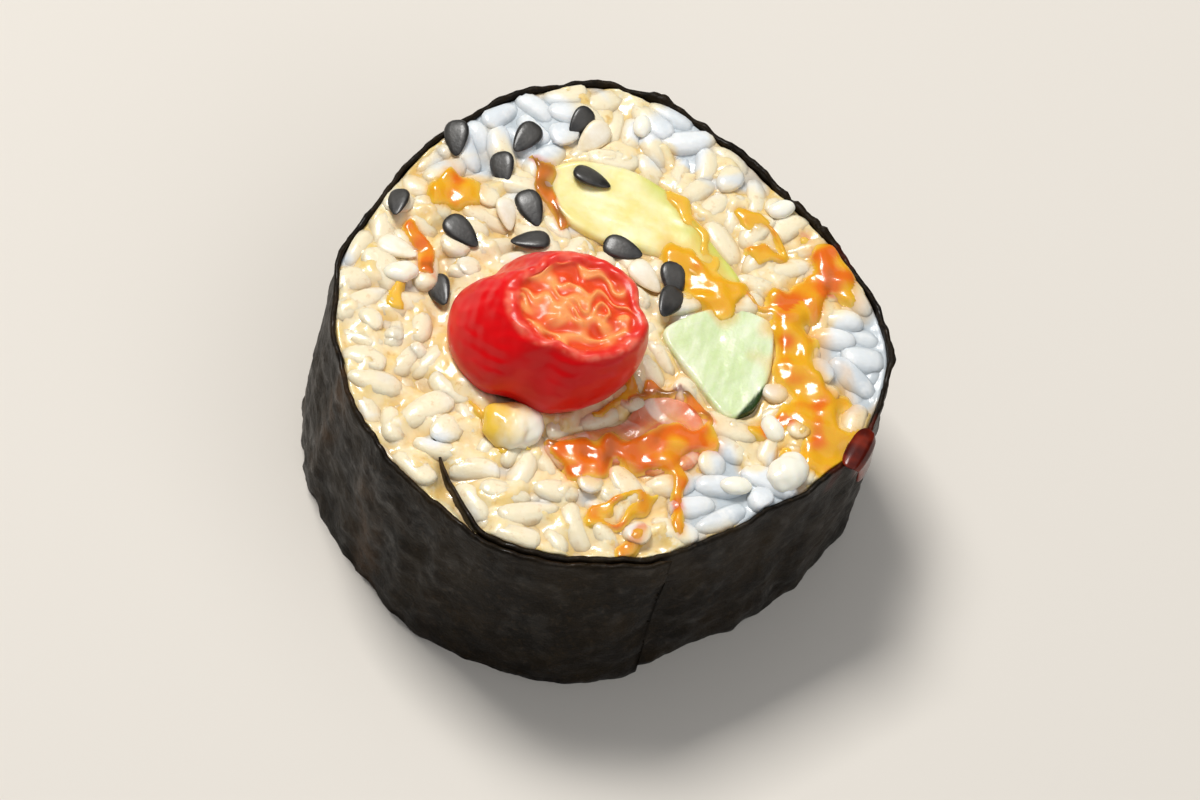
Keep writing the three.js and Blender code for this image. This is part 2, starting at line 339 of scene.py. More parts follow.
seaweed = seaweed_sheet()
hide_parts("nori")
leaf = Finish("toasted seaweed", IOR=1.4, Coat_Roughness=0.2, Specular_IOR_Level=0.15)
wet = leaf.painted("glaze")
crinkle = leaf.noise(0.55, 5, 0.65)
mat_lines = leaf.noise(1, 2, 0.5, leaf.stretched(1, 1, 0.06))
# Browned patches low on the left side: partly toasted colour, partly painted sheen where the crumpled
# sheet would catch the light.
browned_and_sheen = leaf.painted("toasted") * leaf.noise(2.4, 4, 0.6).step(0.3, 0.7)
leaf_colour = leaf.layered(
    rgb(17, 12, 6), (leaf.noise(5, 4).step(0.35, 0.7), rgb(37, 28, 15)),
    (crinkle.step(0.5, 0.75) * 0.55, rgb(62, 47, 28)),
    (browned_and_sheen * 0.7, rgb(88, 62, 36)), (wet.step(0.1, 0.8), rgb(70, 20, 5)),
)
leaf.wear(
    seaweed, "nori", Base_Color=leaf_colour,
    Roughness=leaf.noise(1.4) * 0.35 + 0.26 - wet * 0.15,
    Coat_Weight=leaf.noise(2.2).step(0.5, 0.7) * 0.22,
    Normal=leaf.bump(crinkle * 0.6 + mat_lines * 0.4, 0.26, 0.9),
)


# ----------------------------------------
# Cucumber stick. A peeled quarter cut into a rough, wet stick, with a thread of dark skin left
# on its outer edge. It runs right through the slice, as do the fillings after it.
CUCUMBER = [
    (4.8, 1.2), (9.8, 5.9), (14.4, 5.5), (15.5, 0.6), (15.1, -3.9), (12.9, -5.9), (9.9, -3.6),
]
CORNER_SHARE = 0.11
FILLING_SIDES = 132


def sharpened(corners):
    """Each corner as two points, a share of the way along its edges, so that a curve through
    them runs straight between tight turns."""
    ring = np.array(corners, float)
    pair = [ring + (np.roll(ring, shift, 0) - ring) * CORNER_SHARE for shift in (1, -1)]
    return np.stack(pair, 1).reshape(-1, 2)


def even_steps(path, count, closed=False):
    """The plane path at even steps of its length."""
    run = np.append(0, np.cumsum(length(np.diff(path, axis=0))))
    at = np.linspace(0, run[-1], count, endpoint=not closed)
    return columns(np.interp(at, run, path[:, 0]), np.interp(at, run, path[:, 1]))


def smooth_outline(corners, count):
    """A closed curve through corners that run clockwise: a centripetal spline, taken at even
    steps, and turned to run the other way."""
    ring = np.array(corners, float)
    p0, p1, p2, p3 = (np.roll(ring, shift, 0)[:, None] for shift in (1, 0, -1, -2))
    gaps = [np.sqrt(length(b - a))[..., None] for a, b in ((p0, p1), (p1, p2), (p2, p3))]
    t1, t2, t3 = np.cumsum(gaps, axis=0)
    t = t1 + (t2 - t1) * np.linspace(0, 1, 40, endpoint=False)[:, None]
    a1 = (t1 - t) / t1 * p0 + t / t1 * p1
    a2 = (t2 - t) / (t2 - t1) * p1 + (t - t1) / (t2 - t1) * p2
    a3 = (t3 - t) / (t3 - t2) * p2 + (t - t2) / (t3 - t2) * p3
    b1 = (t2 - t) / t2 * a1 + t / t2 * a2
    b2 = (t3 - t) / (t3 - t1) * a2 + (t - t1) / (t3 - t1) * a3
    fine = ((t2 - t) / (t2 - t1) * b1 + (t - t1) / (t2 - t1) * b2).reshape(-1, 2)
    return even_steps(np.vstack([fine, fine[:1]]), count, closed=True)[::-1]


def grown(outline, distance):
    """The outline moved outwards along its own normals."""
    return outline + distance * rightward(np.roll(outline, -1, 0) - np.roll(outline, 1, 0))


def plug(name, outline, top, bottom, bevel=0.35, rings=26, waist=0):
    """A closed plug: its underside, wall and top are rings of the outline drawn in towards its
    middle, and top(points) gives its height. Below its upper edge the waist draws it in."""
    middle = outline.mean(0)
    core = grown(outline, -bevel)
    round_off = np.linspace(0, math.pi / 2, 5)[:, None, None]
    edge = core + (outline - core) * np.sin(round_off)
    drop = (bevel * (1 - np.cos(round_off)))[:, :, 0]
    inwards = grown(outline, -waist) - outline
    under = middle + (core + inwards - middle) * np.array([0.02, 0.5, 0.98])[:, None, None]
    over = middle + (core - middle) * np.linspace(0.99, 0.01, rings)[:, None, None]
    wall = np.repeat((outline + inwards)[None], 8, 0)
    flat = np.concatenate([under, edge + inwards, wall, edge[::-1], over])
    level = np.r_[np.zeros(8), np.linspace(0, 1, 10)[1:-1], np.ones(5 + rings)]
    lift = np.vstack([np.zeros((3, 1)), drop, np.zeros((8, 1)), -drop[::-1], np.zeros((rings, 1))])
    z = bottom + (top(flat) - bottom) * level[:, None] + lift
    return loft(name, to_space(flat, z[..., None])[None])


def segment_distance(points, start, end):
    """The distance of points[..., xy] from a line between two plane points."""
    a, b = np.array(start, float), np.array(end, float)
    t = np.clip(((points[..., :2] - a) @ (b - a)) / ((b - a) @ (b - a)), 0, 1)
    return length(points[..., :2] - a - t[..., None] * (b - a))


def moist(name, share, tint, depth, ior, coat, **fixed):
    """A finish that lets in a share of the light, which comes out tinted within depth mm, under
    a wet coat of a weight and a roughness."""
    return Finish(
        name, Subsurface_Weight=share, Subsurface_Radius=tint, Subsurface_Scale=depth * MM,
        IOR=ior, Coat_Weight=coat[0], Coat_Roughness=coat[1], **fixed)


def paint_near(piece, label, start, end, near, far):
    """Paints 1 up to near millimetres from a line between two plane points, and 0 past far."""
    paint(piece, label, 1 - smoothstep(segment_distance(vertices(piece), start, end), near, far))


def cucumber_top(flat):
    """The cut level, with soft dips where the seeds sat and the knife's faint drag."""
    return SLICE_HEIGHT + 0.05 + relief(to_space(flat), (0.07, 4, 41), (0.03, 1.2, 42))


cucumber_outline = smooth_outline(sharpened(CUCUMBER), FILLING_SIDES)
cucumber = plug("cucumber_stick", cucumber_outline, cucumber_top, 0)
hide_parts("cucumber")
paint_near(cucumber, "skin", (16.2, -0.4), (13.7, -6.4), 0.35, 0.6)
flesh = moist("cut cucumber", 0.3, (0.8, 1, 0.5), 1.2, 1.36, coat=(0, 0.08))
cells = flesh.noise(0.5)
grain_lines = flesh.noise(1.6, 3, 0.6, flesh.stretched(1, 0.25, 1))
flesh_colour = flesh.layered(
    rgb(208, 226, 170), (grain_lines.step(0.35, 0.7), rgb(231, 240, 208)),
    (cells.step(0.55, 0.8) * 0.35, rgb(242, 247, 228)), (flesh.painted("skin"), rgb(38, 62, 20)),
)
flesh.wear(
    cucumber, "cucumber", Base_Color=flesh.sauced(flesh_colour),
    Roughness=flesh.noise(0.8, 2) * 0.25 + 0.16,
    Coat_Weight=flesh.noise(2, 2).step(0.4, 0.6) * 0.5,
    Normal=flesh.bump(cells, 0.09, 0.6),
)


# ----------------------------------------
# Avocado strip. Ripe flesh, butter yellow with a greener edge where it lay under the peel,
# smeared a little by the knife.
AVOCADO = [
    (-8.8, 14.6), (-3.2, 16.8), (2.2, 15.8), (6.8, 12.2), (10.9, 8),
    (8.2, 6.9), (3, 8.8), (-2.6, 8.7), (-6.6, 9.8),
]


def avocado_top(flat):
    """The cut level, softly domed, with low smears along the knife's way."""
    spot = to_space(flat)
    smear = ripple(spot * [0.35, 1, 1], 1.6, 51)
    return SLICE_HEIGHT + 0.12 + 0.14 * ripple(spot, 5, 52) + 0.05 * smear


def outline_distance(points, outline):
    """How far points[..., xy] lie from a closed outline: positive outside it, negative inside."""
    start, end = outline, np.roll(outline, -1, 0)
    along = end - start
    apart = points[..., None, :2] - start
    t = np.clip((apart * along).sum(-1) / (along * along).sum(-1), 0, 1)
    nearest = length(apart - t[..., None] * along).min(-1)
    across = (start[:, 1] > points[..., None, 1]) != (end[:, 1] > points[..., None, 1])
    rise = np.where(along[:, 1] == 0, 1e-9, along[:, 1])
    crossing = start[:, 0] + along[:, 0] * (points[..., None, 1] - start[:, 1]) / rise
    inside = (across & (points[..., None, 0] < crossing)).sum(-1) % 2 == 1
    return np.where(inside, -nearest, nearest)


avocado_outline = smooth_outline(AVOCADO, FILLING_SIDES)
avocado = plug("avocado_strip", avocado_outline, avocado_top, 0, bevel=0.5)
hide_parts("avocado")
paint_near(avocado, "peel_side", (1.5, 16.6), (11.5, 8.2), 0.4, 3.2)
butter = moist("ripe avocado", 0.35, (1, 0.8, 0.3), 1.2, 1.45, coat=(0.35, 0.15))
butter_colour = butter.layered(
    rgb(238, 224, 138), (butter.noise(3).step(0.3, 0.7), rgb(247, 240, 188)),
    (butter.painted("peel_side") * 0.85, rgb(204, 208, 88)),
)
butter.wear(
    avocado, "avocado", Base_Color=butter.sauced(butter_colour),
    Roughness=butter.noise(1, 2) * 0.2 + 0.28,
    Normal=butter.bump(butter.noise(0.7), 0.08, 0.5),
)


# ----------------------------------------
# Salmon. A raw strip with pale bands of fat, tossed in hot sauce, so that its cut end is wet.
SALMON = [
    (-2.1, -14.2), (0.2, -12), (3.8, -9.4), (5.6, -6.2), (9, -5.4),
    (11.4, -7.6), (11.6, -10.8), (8.8, -13.4), (4.4, -13.8), (0.6, -15.8),
]


def salmon_top(flat):
    """The cut level, soft and uneven, with finer ripples for the flakes of muscle."""
    return SLICE_HEIGHT + 0.05 + relief(to_space(flat), (0.14, 4, 61), (0.09, 1.6, 62))


salmon_outline = smooth_outline(SALMON, FILLING_SIDES)
salmon = plug("salmon_strip", salmon_outline, salmon_top, 0, bevel=0.45)
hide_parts("salmon")
fish = moist("raw salmon", 0.35, (1, 0.35, 0.2), 1.4, 1.38, coat=(0.4, 0.14))
bands = fish.node(
    "TexWave", {"wave_type": "BANDS", "bands_direction": "DIAGONAL"},
    {"Vector": fish.place, "Scale": 115, "Distortion": 3.5, "Detail": 2, "Detail Scale": 1.5},
    "Fac",
)
fat = bands.step(0.72, 0.95) * fish.noise(6, 1, 0.4).step(0.3, 0.6)
fish_colour = fish.layered(
    rgb(230, 132, 92), (fish.noise(2.5).step(0.3, 0.7), rgb(236, 172, 142)),
    (fat * 0.8, rgb(252, 224, 206)),
)
fish.wear(
    salmon, "salmon", Base_Color=fish.sauced(fish_colour),
    Roughness=fish.noise(0.9, 2) * 0.2 + 0.15,
    Normal=fish.bump(fish.noise(0.6) - fat * 0.5, 0.1, 0.6),
)


# ----------------------------------------
# Rice. Short grains, cooked, seasoned and pressed into a solid bed while warm. In both cut
# faces the knife has pushed some flat, cut some and left some end up.
GRAIN_LENGTH, GRAIN_WIDTH, GRAIN_DEPTH = 5.7, 2.8, 2.5
GRAIN_RINGS, GRAIN_SIDES = 11, 12
SURFACE_GRAINS, BURIED_GRAINS, UNDER_GRAINS = 152, 124, 114
CUT_LEVEL, CUT_SQUASH, TABLE_GAP = SLICE_HEIGHT + 0.1, 0.22, 0.05
# Laying the grains: tries for each, least room, share stood on end, radius of a grain's three
# discs, rounds of pushing, and the step that measures a slope.
TRIES, LEAST_ROOM, ON_END, DISC_RADIUS, ROUNDS, NUDGE = 12, 0.6, 0.14, 1.2, 90, 0.05
CHILI_BASE, CHILI_FOOT, UNDER_CHILI = (-5.9, -4.4), 7.6, 6
CELL, REACH = 0.3, 27

fillings = [
    (cucumber_outline, cucumber_top), (avocado_outline, avocado_top), (salmon_outline, salmon_top),
]
flap_line = sheet_path(np.linspace(FLAP_START, FLAP_JOIN, 60), SLICE_HEIGHT)


def inner_radius(turn, z=SLICE_HEIGHT):
    """The inner side of the sheet round the rice at height z, with its wrinkles."""
    turn = turn % FULL_TURN
    turn = np.where(turn < FLAP_JOIN, turn + FULL_TURN, turn)
    return sheet_radius(turn) + wrinkle(turn, z) - SHEET_THICKNESS / 2


def polar(points):
    """The turn in degrees and the distance from the middle of points[..., xy]."""
    x, y = points[..., 0], points[..., 1]
    return np.degrees(np.arctan2(y, x)), np.hypot(x, y)


def from_flap(points):
    """The distance of points[..., xy] from the middle of the flap."""
    return length(points[..., None, :2] - flap_line).min(-1)


def room(points, by_chili):
    """The clear distance from points[..., xy] to the nearest wall: the sheet, its flap, the
    fillings and, in the layer that the chili stands on, its foot."""
    turn, reach = polar(points)
    clear = np.minimum(inner_radius(turn) - reach, from_flap(points) - SHEET_THICKNESS)
    for outline, _ in fillings:
        clear = np.minimum(clear, outline_distance(points, outline[::3]))
    if by_chili:
        clear = np.minimum(clear, length(points[..., :2] - CHILI_BASE) - UNDER_CHILI)
    return clear


def laid_grains(count, seed, level, spread, by_chili=False):
    """Grains pressed side by side at a level. Each is three discs in a row, or on one spot
    where it stands on end; discs that overlap push their grains apart and turn them, and the
    walls push them back in. The draws make each grain a little different."""
    rng = np.random.default_rng(seed)
    trial = rng.uniform(-SLICE_RADIUS, SLICE_RADIUS, (count * TRIES, 2))
    place = trial[room(trial, by_chili) > LEAST_ROOM][:count]
    count = len(place)
    heading = rng.uniform(0, math.pi, count)
    half = np.where(rng.random(count) < ON_END, 0.12, 1) * rng.uniform(0.95, 1.75, count)
    owner = np.repeat(np.arange(count), 3)
    apart = owner[:, None] != owner
    for _ in range(ROUNDS):
        way = columns(np.cos(heading), np.sin(heading))
        arm = np.array([[-1], [0], [1]]) * half[:, None, None] * way[:, None]
        discs = (place[:, None] + arm).reshape(-1, 2)
        gap = discs[:, None] - discs
        distance = length(gap) + 1e-9
        overlap = np.clip(2 * DISC_RADIUS - distance, 0, None) * apart
        push = (gap / distance[..., None] * overlap[..., None]).sum(1) * 0.5
        clear = room(discs, by_chili)
        beside = [room(discs + np.array(step), by_chili) for step in ((NUDGE, 0), (0, NUDGE))]
        slope = (columns(*beside) - clear[:, None]) / NUDGE
        push += slope * np.clip(DISC_RADIUS - clear, 0, None)[:, None]
        push = push.reshape(count, 3, 2)
        twist = (arm[..., 0] * push[..., 1] - arm[..., 1] * push[..., 0]).sum(1) / (2 * half**2 + 0.8)
        place = place + 0.33 * push.mean(1)
        heading = heading + 0.3 * np.clip(twist, -0.5, 0.5)
    draws = rng.random((9, count, 1, 1))
    return place, heading, half, draws, level + spread * (2 * draws[8, :, 0, 0] - 1)


def turned(points, angle, i, j):
    """The points turned by an angle a body, from axis i towards axis j."""
    cos, sin = np.cos(angle)[:, None, None], np.sin(angle)[:, None, None]
    first, second = points[..., i], points[..., j]
    points = points.copy()
    points[..., i], points[..., j] = first * cos - second * sin, first * sin + second * cos
    return points


def once_round(sides):
    """Equal turns in radians, once round."""
    return np.linspace(0, 2 * math.pi, sides, endpoint=False)


def ball_angles(tip, rings, sides):
    """The angles along and around a ball, from the angle tip short of each end."""
    return np.linspace(tip, math.pi - tip, rings)[:, None], once_round(sides)


def grain_rings(layer, rings=GRAIN_RINGS, sides=GRAIN_SIDES):
    """Rings along each grain: a blunt, bent ellipsoid with soft flats, tilted or stood on end,
    turned to its heading, pressed back inside the sheet and flattened at both cut faces."""
    place, heading, half, draws, level = layer
    along, around = ball_angles(0.07, rings, sides)
    size = 0.84 + 0.24 * draws[0]
    x = -np.sign(np.cos(along)) * np.abs(np.cos(along)) ** 0.88 * GRAIN_LENGTH / 2
    x = x * (half[:, None, None].clip(1.2) / 1.55) ** 0.8
    fat = np.sin(along) ** 0.8 * (1 + (0.5 * draws[1] - 0.25) * np.cos(along))
    lobes = 1 + 0.07 * np.cos(2 * around + 6 * draws[2])
    lobes = lobes + 0.05 * np.cos(3 * around + 1.3 * along + 6 * draws[3])
    y = fat * lobes * np.cos(around) * GRAIN_WIDTH / 2 + (0.16 * draws[4] - 0.08) * (x * x - 3)
    z = fat * lobes * np.sin(around) * GRAIN_DEPTH / 2 + (0.06 * draws[5] - 0.03) * (x * x - 3)
    points = columns(x * size, y * size, z * size)
    points = points * (1 + 0.035 * ripple(points + 7 * place[:, None, None, :1], 2.2, 71)[..., None])
    tilt = np.where(half < 0.5, 0.9 + 0.6 * draws[6, :, 0, 0], 0.6 * draws[6, :, 0, 0] - 0.3)
    points = turned(turned(points, tilt, 2, 0), heading, 0, 1)
    points[..., :2] += place[:, None, None, :]
    points[..., 2] += level[:, None, None]
    turn, reach = polar(points)
    z = points[..., 2]
    points[..., :2] *= np.minimum(1, (inner_radius(turn, z) - 0.1) / reach)[..., None]
    z = np.where(z > CUT_LEVEL, CUT_LEVEL + CUT_SQUASH * (z - CUT_LEVEL), z)
    low = TABLE_GAP * np.exp(np.minimum(z - TABLE_GAP, 0))
    points[..., 2] = np.where(z < TABLE_GAP, low, z)
    return points


layers = [
    laid_grains(SURFACE_GRAINS, 72, SLICE_HEIGHT - 1, 0.4, by_chili=True),
    laid_grains(BURIED_GRAINS, 73, SLICE_HEIGHT - 2.1, 0.3),
    laid_grains(UNDER_GRAINS, 74, 1.15, 0.25),
]
grain_bodies = np.concatenate([grain_rings(layer) for layer in layers])
grains = loft("rice_grains", grain_bodies)
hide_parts("rice")


def blurred(field, times):
    """The field with each cell made the mean of the nine about it, again and again."""
    for _ in range(times):
        field = sum(np.roll(field, (i, j), (0, 1)) for i in (-1, 0, 1) for j in (-1, 0, 1)) / 9
    return field


def sampled(field, flat):
    """The field between its cells, straight from one to the next."""
    at = np.clip((flat[..., :2] + REACH) / CELL - 0.5, 0, len(field) - 1.001)
    low = at.astype(int)
    part = at - low
    i, j, u, v = low[..., 0], low[..., 1], part[..., 0], part[..., 1]
    near = field[i, j] * (1 - v) + field[i, j + 1] * v
    return near * (1 - u) + (field[i + 1, j] * (1 - v) + field[i + 1, j + 1] * v) * u


def face_height():
    """How high the cut face stands in each cell of a square: the tallest grain, or the filling."""
    at = (np.arange(round(2 * REACH / CELL)) + 0.5) * CELL - REACH
    flat = columns(at[:, None], at)
    turn, reach = polar(flat)
    field = np.where(reach > inner_radius(turn) - 0.3, SLICE_HEIGHT - 0.1, SLICE_HEIGHT - 1.1)
    for layer in layers[:2]:
        points = grain_rings(layer, 44, 44).reshape(-1, 3)
        cell = ((points[:, :2] + REACH) / CELL).astype(int)
        np.maximum.at(field, (cell[:, 0], cell[:, 1]), points[:, 2])
    for outline, top in fillings:
        field = np.where(outline_distance(flat, outline[::3]) < 0, top(flat), field)
    return field


ground = face_height()
soft_ground = blurred(ground, 3)
level_ground = blurred(ground, 14)


def rice_outline(count, distance=0):
    """The room inside the sheet, as a ring of points, grown by a distance."""
    turn = np.linspace(0, FULL_TURN, count, endpoint=False)
    return grown(on_plane(inner_radius(turn) - 0.02, turn), distance)


def bed_top(flat):
    """The starch that sets between the grains: the levelled face, lowered to leave them proud."""
    return sampled(blurred(ground, 7), flat) - 0.42 + 0.08 * ripple(to_space(flat), 1.5, 75)


bed = plug("rice_bed", rice_outline(300), bed_top, 0.9, bevel=0.3, rings=80, waist=0.5)

# Where the face stays bare of creamy sauce: places, half widths and how bare.
BARE = [
    ((-12.5, 18.5), (6.5, 4.6), 1), ((1.5, 22.3), (4.5, 2.6), 0.9), ((23, 4.5), (3.8, 7), 1),
    ((16.5, -12), (6, 4), 1), ((8, 19.5), (3.5, 2.2), 0.6), ((-16, 13), (3.5, 3.5), 0.6),
    ((12.8, -15.5), (3.2, 4), 0.8),
]


def soaked(points):
    """How much creamy sauce lies on the face: all over but for soft ovals, broken up by noise."""
    flat = to_space(points[..., :2])
    warped = points[..., :2] + 1.2 * columns(ripple(flat, 6, 76), ripple(flat, 6, 77))
    bare = np.zeros(points.shape[:-1])
    for (x, y), (wide, deep), strength in BARE:
        reach = np.hypot((warped[..., 0] - x) / wide, (warped[..., 1] - y) / deep)
        bare = np.maximum(bare, strength * (1 - smoothstep(reach, 0.6, 1.15)))
    return np.clip((1 - bare) * (0.85 + 0.3 * ripple(flat, 3.5, 78)), 0, 1)


def hollows(points):
    """How deep a point lies in the gaps of the face: 0 on the grains' crowns, 1 low between them, and
    0 again well down in the slice. The finishes draw the gaps darker by it, as painted shade."""
    z = points[:, 2]
    return smoothstep(sampled(level_ground, points) - z, 0, 0.6) * smoothstep(z, 14, 16)


grain_tone = np.random.default_rng(79).random(len(grain_bodies))
paint(grains, "tone", np.repeat(grain_tone, len(grains.data.vertices) // len(grain_bodies)))
paint(bed, "tone", np.full(len(bed.data.vertices), 0.35))
starch = moist("cooked rice", 0.4, (1, 0.9, 0.8), 0.9, 1.4, coat=(0.4, 0.12))
# Painted shade: the gaps between the grains are drawn darker by how deep they lie, and a deeper amber
# where sauce soaks in, which is partly the thicker sauce there.
soak, gap = starch.painted("soak"), starch.painted("hollow_shade")
speckle = starch.noise(0.8, 3, 0.6).step(0.58, 0.72) * 0.45
soaked_colour = starch.layered(
    rgb(247, 230, 190), (speckle, rgb(214, 168, 98)), (gap, rgb(222, 182, 110)),
)
starch_colour = starch.layered(
    rgb(214, 221, 226), (starch.painted("tone"), rgb(235, 238, 238)),
    (starch.noise(1.6).step(0.48, 0.72) * 0.7, rgb(246, 247, 246)),
    # Painted shade: bluish grey in the gaps of bare rice.
    (gap * 0.7, rgb(172, 182, 188)), (soak.step(0.1, 0.7) * 0.85, soaked_colour),
)
starch_look = {
    "Base_Color": starch.sauced(starch_colour),
    "Roughness": starch.noise(0.9, 2) * 0.2 + 0.3 - soak * 0.12,
    "Normal": starch.bump(starch.noise(0.5), 0.09, 0.6),
}
for piece in (grains, bed):
    points = vertices(piece)
    paint(piece, "soak", soaked(points) * smoothstep(points[:, 2], 14, 18))
    # How deep each point lies in the gaps, for the painted shade.
    paint(piece, "hollow_shade", hollows(points))
    starch.wear(piece, "rice", **starch_look)


# ----------------------------------------
# Creamy sauce. Spicy mayonnaise mixed with roe, spooned thinly over the rice: it fills the
# hollows between the grains and rounds a fillet about the chili's foot.
SAUCE_BOTTOM = 17
BARE_DROP, FILLET_HEIGHT, FILLET_WIDTH = 0.85, 0.45, 0.9


def cream_top(flat):
    """The levelled face plus a coat that fades below it where no sauce lies and thickens about
    the chili's foot, less a dip over the fillings and a groove along the flap."""
    wet = soaked(flat)
    from_foot = length(flat - CHILI_BASE) - CHILI_FOOT
    coat = -BARE_DROP + BARE_DROP * wet + FILLET_HEIGHT * np.exp(-((from_foot / FILLET_WIDTH) ** 2))
    coat = coat + wet * relief(to_space(flat), (0.12, 2.4, 81), (0.06, 1.1, 82))
    from_fillings = (outline_distance(flat, outline[::3]) for outline, _ in fillings)
    inside = sum(smoothstep(-distance, -0.5, 0.3) for distance in from_fillings)
    groove = np.exp(-((from_flap(flat) / 0.45) ** 2))
    return sampled(blurred(ground, 4), flat) + coat - 0.8 * inside - 0.15 * groove


cream_outline = rice_outline(360, -0.08)
cream = plug("creamy_sauce", cream_outline, cream_top, SAUCE_BOTTOM, bevel=0.25, rings=88, waist=0.3)
sauce = moist("creamy sauce", 0.35, (1, 0.8, 0.5), 0.9, 1.42, coat=(0.7, 0.1))
sauce_colour = sauce.layered(
    rgb(247, 228, 186), (sauce.noise(3.2).step(0.4, 0.7), rgb(239, 205, 126)),
    (sauce.noise(1.1).step(0.55, 0.75) * 0.8, rgb(251, 243, 224)),
    (sauce.noise(0.8, 3, 0.6).step(0.58, 0.72) * 0.55, rgb(214, 168, 98)),
    # Painted shade, with the thicker sauce's deeper tone: the hollows are drawn a darker amber.
    (sauce.painted("hollow_shade") * 0.85, rgb(224, 184, 108)),
)
paint(cream, "hollow_shade", hollows(vertices(cream)))
sauce.wear(
    cream, "sauce", Base_Color=sauce.sauced(sauce_colour),
    Roughness=sauce.noise(1.2, 2) * 0.2 + 0.22,
    Normal=sauce.bump(sauce.noise(0.5), 0.07, 0.5),
)


# ----------------------------------------
# Amber sauce. A clear sweet and hot sauce, drizzled last: it runs in streams over the face,
# stands in the hollows as a shiny bead, and stains what it only wets.
STAIN_SPREAD = 1.6
# Each run: the points it passes, its half width and depth, and how red it is.
RUNS = [
    ([(4.8, 8.8), (6.8, 7.6), (9.4, 6.4)], 2.2, 0.6, -0.3),
    ([(2.2, 15.6), (5.2, 12.9), (7.6, 10.4), (8.4, 8)], 0.9, 0.3, -0.3),
    ([(15.8, 6.4), (16.9, 3.2), (17.8, 1.2), (19.8, -0.8), (21.8, -3.2), (22.4, -5.6), (21.2, -7.8)],
     2.2, 0.75, -0.05),
    ([(20.2, -2.4), (22.6, -4.4), (22, -7)], 2.8, 0.6, -0.05),
    ([(19.8, -0.8), (19, -3.2), (17.8, -5.2), (15.6, -6)], 1.3, 0.45, 0.2),
    ([(17.4, 14), (18.9, 11.6), (17.6, 9.2), (15.2, 7.6)], 1.9, 0.65, 0.3),
    ([(9, 15.3), (11.7, 15), (13.7, 13.2), (12.3, 11.7), (10.8, 12.4)], 0.7, 0.4, 0.05),
    ([(10.8, 7.4), (13.4, 6.7), (15.6, 6.2)], 0.5, 0.3, 0.5),
    ([(-17.5, 9.5), (-16.4, 9)], 2.2, 0.6, 0.1),
    ([(-19.4, 4.5), (-17.3, 2.4), (-16.4, -0.2)], 0.75, 0.45, 0.45),
    ([(-18.9, -2), (-18.5, -4.4)], 0.8, 0.3, 0),
    ([(-9.9, 14.6), (-8.3, 11.8), (-6.3, 9.1)], 0.65, 0.4, 0.85),
    ([(1, -14.7), (4.7, -12.7), (8.6, -11.3), (10.6, -8.6)], 2.1, 0.6, 0.4),
    ([(-1.6, -13.9), (0.4, -14.5)], 0.8, 0.4, 1),
    ([(3.6, -6.6), (5.6, -5), (8, -4.6), (10, -5.6), (11.6, -7)], 0.65, 0.4, 0.9),
    ([(3.7, -19.8), (5.4, -17.6), (8, -16), (8.1, -17.5), (6.4, -19.3), (4.2, -20)], 0.6, 0.4, 0.25),
    ([(9.8, -12.6), (10.9, -15.4), (11, -18.4)], 1, 0.45, 0.35),
    ([(8.7, -19.8), (7.1, -22.4)], 0.7, 0.35, 0.35),
    ([(3.3, -1.2), (3.6, -5.4), (2, -9.6)], 0.6, 0.4, 0.3),
    ([(-9.2, -12.2), (-6.2, -15.4), (-3.4, -15)], 0.5, 0.3, 0.15),
]


def drizzled(points, spread=1):
    """The depth of amber sauce and its redness at points[..., xy]: each run has a round section
    and swells and thins along its way. A spread over 1 widens it as a stain does."""
    flat = to_space(points[..., :2])
    warped = flat + 0.45 * columns(ripple(flat, 3, 91), ripple(flat, 3, 92), 0)
    swell = 1 + 0.3 * ripple(flat, 4, 93)
    depth = np.zeros(flat.shape[:-1])
    redness = np.zeros(flat.shape[:-1])
    for path, half, deep, red in RUNS:
        apart = np.min([segment_distance(warped, a, b) for a, b in zip(path, path[1:])], axis=0)
        share = np.clip(1 - apart / (half * swell * spread), 0, 1)
        here = deep * np.minimum(share * 1.8, 1) ** 0.8
        redness = np.where(here > depth, red, redness)
        depth = np.maximum(depth, here)
    return depth, redness


def amber_top(flat):
    """The face, levelled more where the sauce is deep, plus that depth; without sauce it dives."""
    depth, _ = drizzled(flat)
    wet = smoothstep(depth, 0, 0.25)
    levelled = smoothstep(depth, 0, 0.5) * 0.9
    base = sampled(soft_ground, flat) * (1 - levelled) + sampled(level_ground, flat) * levelled
    return base - 0.7 + wet * (0.64 + 0.75 * depth + 0.1 * ripple(to_space(flat), 1.9, 95))


amber_outline = rice_outline(400, -0.05)
amber = plug("amber_sauce", amber_outline, amber_top, SAUCE_BOTTOM, bevel=0.2, rings=96, waist=0.3)
for piece in (cucumber, avocado, salmon, grains, bed, cream, amber):
    points = vertices(piece)
    depth, redness = drizzled(points)
    if piece is not amber:
        stain, stain_redness = drizzled(points, STAIN_SPREAD)
        redness = np.where(depth > 0.05, redness, stain_redness - 0.4)
        depth = np.maximum(depth, 0.5 * stain)
    paint(piece, "amber", depth * smoothstep(points[:, 2], SAUCE_BOTTOM + 0.5, 19.2))
    deeper = 0.35 * np.clip(depth - 0.3, 0, 1)
    paint(piece, "redness", redness + 0.25 * ripple(points, 2.5, 94) + deeper)
syrup = moist("amber sauce", 0.3, (1, 0.5, 0.12), 1.2, 1.4, coat=(0.5, 0.08))
syrup.wear(
    amber, "sauce", Base_Color=syrup.sauced(rgb(248, 210, 96)),
    Roughness=syrup.noise(2, 2) * 0.12 + 0.13,
    Normal=syrup.bump(syrup.noise(0.8, 2), 0.04, 0.5),
)


